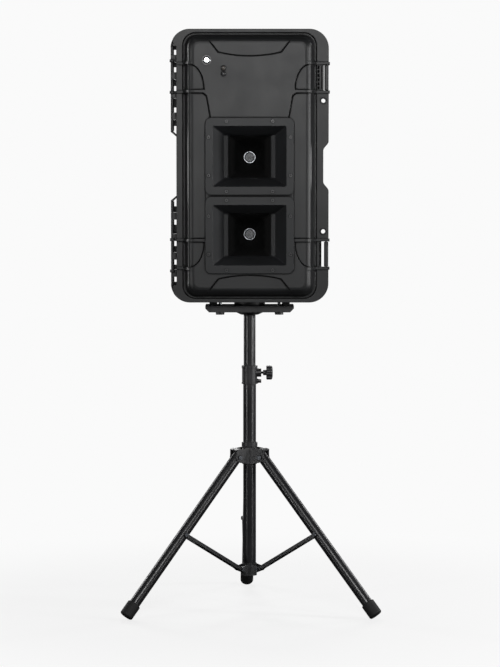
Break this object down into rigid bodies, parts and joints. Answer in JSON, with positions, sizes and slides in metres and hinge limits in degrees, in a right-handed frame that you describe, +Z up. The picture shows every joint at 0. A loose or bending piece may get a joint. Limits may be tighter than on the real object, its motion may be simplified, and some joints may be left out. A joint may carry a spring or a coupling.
{
  "type": "portable horn loudspeaker on a tripod stand",
  "caption": "Portable PA speaker: square-mouth horns on the lid of a latching hard case, on the sliding pole of a folding tripod stand.",
  "frame": {"origin": "on the floor, at the middle of the footprint box", "axes": "+Z up, +X to the viewer's right, horns face -Y"},
  "size_m": [0.754, 0.666, 1.7053],
  "materials": {
    "case_plastic": "fine-textured moulded polymer",
    "horn_plastic": "satin moulded polymer",
    "plastic_black": "satin moulded nylon",
    "steel_black": "satin black powder coat",
    "steel_bright": "zinc plated",
    "steel_polished": "polished stainless steel",
    "rubber_black": "matte rubber",
    "screen_grey": "grey perforated steel",
    "driver_metal": "black painted castings",
    "alloy_grey": "anodised sheet"
  },
  "bodies": {
    "stand": {"lower_tube": "steel_black", "tube_plug": "plastic_black", "bottom_collar": "plastic_black", "collar_bolts": "steel_bright", "height_collar": "plastic_black", "collar_screw": "steel_black"},
    "knob": {"height_knob": "plastic_black"},
    "mast": {"upper_pole": "steel_black", "pole_plugs": "plastic_black"},
    "hub": {"leg_hub": "plastic_black", "hub_bolts": "steel_bright"},
    "leg_left": {"leg_left": "steel_black", "foot_left": "rubber_black"},
    "leg_right": {"leg_right": "steel_black", "foot_right": "rubber_black"},
    "leg_rear": {"leg_rear": "steel_black", "foot_rear": "rubber_black"},
    "brace_left": {"brace_left": "steel_black", "brace_rivets_left": "steel_bright"},
    "brace_right": {"brace_right": "steel_black", "brace_rivets_right": "steel_bright"},
    "brace_rear": {"brace_rear": "steel_black", "brace_rivets_rear": "steel_bright"},
    "speaker": {"platform": "steel_black", "platform_spacers": "rubber_black", "platform_bolts": "steel_bright", "platform_nuts": "steel_black", "socket_spacer": "plastic_black", "pole_socket": "steel_black", "case_base": "case_plastic", "hinge_pin_upper": "steel_bright", "hinge_pin_lower": "steel_bright", "keeper_pins": "steel_bright", "handle_pins": "steel_bright"},
    "lid": {"case_lid": "case_plastic", "lid_seal": "rubber_black", "latch_pins": "steel_bright", "horn_upper": "horn_plastic", "horn_lower": "horn_plastic", "horn_screws_upper": "steel_black", "horn_screws_lower": "steel_black", "throat_screen_upper": "screen_grey", "throat_screen_lower": "screen_grey", "driver_upper": "driver_metal", "driver_lower": "driver_metal", "amp_chassis": "alloy_grey", "control_panel": "plastic_black", "panel_sockets": "steel_black", "battery_pack": "plastic_black", "battery_bracket": "alloy_grey", "button_bezel": "steel_black", "status_lights": "plastic_black"},
    "latch_upper": {"latch_upper": "case_plastic"},
    "latch_lower": {"latch_lower": "case_plastic"},
    "trigger_upper": {"trigger_upper": "case_plastic"},
    "trigger_lower": {"trigger_lower": "case_plastic"},
    "handle": {"handle_grip": "case_plastic"},
    "power_button": {"power_button": "steel_polished"},
    "volume_knob": {"volume_knob": "plastic_black"}
  },
  "joints": [
    {"name": "pole_slide", "type": "slide", "parent": "stand", "child": "mast", "axis": [0, 0, 1], "range_m": [-0.14, 0.3]},
    {"name": "height_knob_turn", "type": "hinge", "parent": "stand", "child": "knob", "pos_m": [0.04572, -0.09869, 0.70083], "axis": [1, 0, 0], "continuous": true},
    {"name": "tripod_fold", "type": "slide", "parent": "stand", "child": "hub", "axis": [0, 0, 1], "range_m": [0, 0.1717]},
    {"name": "leg_left_swing", "type": "hinge", "parent": "hub", "child": "leg_left", "pos_m": [-0.04192, -0.12148, 0.45178], "axis": [0.518, -0.8554, 0], "range_deg": [-0.01, 35.86]},
    {"name": "leg_right_swing", "type": "hinge", "parent": "hub", "child": "leg_right", "pos_m": [0.03428, -0.11989, 0.45178], "axis": [0.4818, 0.8763, 0], "range_deg": [-0.01, 35.86]},
    {"name": "leg_rear_swing", "type": "hinge", "parent": "hub", "child": "leg_rear", "pos_m": [-0.0052, -0.0547, 0.45178], "axis": [-0.9998, -0.0209, 0], "range_deg": [-0.01, 35.86]},
    {"name": "brace_left_swing", "type": "hinge", "parent": "stand", "child": "brace_left", "pos_m": [-0.03422, -0.11682, 0.11783], "axis": [-0.518, 0.8554, 0], "range_deg": [-0.01, 50.47]},
    {"name": "brace_right_swing", "type": "hinge", "parent": "stand", "child": "brace_right", "pos_m": [0.02639, -0.11555, 0.11783], "axis": [-0.4818, -0.8763, 0], "range_deg": [-0.01, 50.47]},
    {"name": "brace_rear_swing", "type": "hinge", "parent": "stand", "child": "brace_rear", "pos_m": [-0.00501, -0.0637, 0.11783], "axis": [0.9998, 0.0209, 0], "range_deg": [-0.01, 50.47]},
    {"name": "head_swivel", "type": "hinge", "parent": "mast", "child": "speaker", "pos_m": [-0.00428, -0.09869, 0.99783], "axis": [0, 0, 1], "continuous": true},
    {"name": "lid_hinge", "type": "hinge", "parent": "speaker", "child": "lid", "pos_m": [-0.22778, -0.21169, 1.30983], "axis": [0, 0, -1], "range_deg": [0, 110]},
    {"name": "latch_upper_turn", "type": "hinge", "parent": "lid", "child": "latch_upper", "pos_m": [0.21822, -0.21969, 1.56483], "axis": [0, 0, -1], "range_deg": [0, 100]},
    {"name": "trigger_upper_pull", "type": "hinge", "parent": "latch_upper", "child": "trigger_upper", "pos_m": [0.22122, -0.18289, 1.56483], "axis": [0, 0, -1], "range_deg": [0, 25], "stiffness_Nm_per_rad": 0.2},
    {"name": "latch_lower_turn", "type": "hinge", "parent": "lid", "child": "latch_lower", "pos_m": [0.21822, -0.21969, 1.05483], "axis": [0, 0, -1], "range_deg": [0, 100]},
    {"name": "trigger_lower_pull", "type": "hinge", "parent": "latch_lower", "child": "trigger_lower", "pos_m": [0.22122, -0.18289, 1.05483], "axis": [0, 0, -1], "range_deg": [0, 25], "stiffness_Nm_per_rad": 0.2},
    {"name": "handle_fold", "type": "hinge", "parent": "speaker", "child": "handle", "pos_m": [0.20272, -0.18669, 1.30983], "axis": [0, 0, -1], "range_deg": [0, 90]},
    {"name": "power_press", "type": "slide", "parent": "lid", "child": "power_button", "axis": [0, 1, 0], "range_m": [0, 0.002], "stiffness_N_per_m": 600},
    {"name": "volume_turn", "type": "hinge", "parent": "lid", "child": "volume_knob", "pos_m": [-0.05728, -0.21369, 1.49783], "axis": [0, 1, 0], "range_deg": [0, 280]}
  ],
  "couplings": [
    {"joint": "leg_left_swing", "follows": "tripod_fold", "rad_per_m": 3.6441},
    {"joint": "leg_right_swing", "follows": "tripod_fold", "rad_per_m": 3.6441},
    {"joint": "leg_rear_swing", "follows": "tripod_fold", "rad_per_m": 3.6441},
    {"joint": "brace_left_swing", "follows": "tripod_fold", "rad_per_m": 5.1283},
    {"joint": "brace_right_swing", "follows": "tripod_fold", "rad_per_m": 5.1283},
    {"joint": "brace_rear_swing", "follows": "tripod_fold", "rad_per_m": 5.1283}
  ]
}
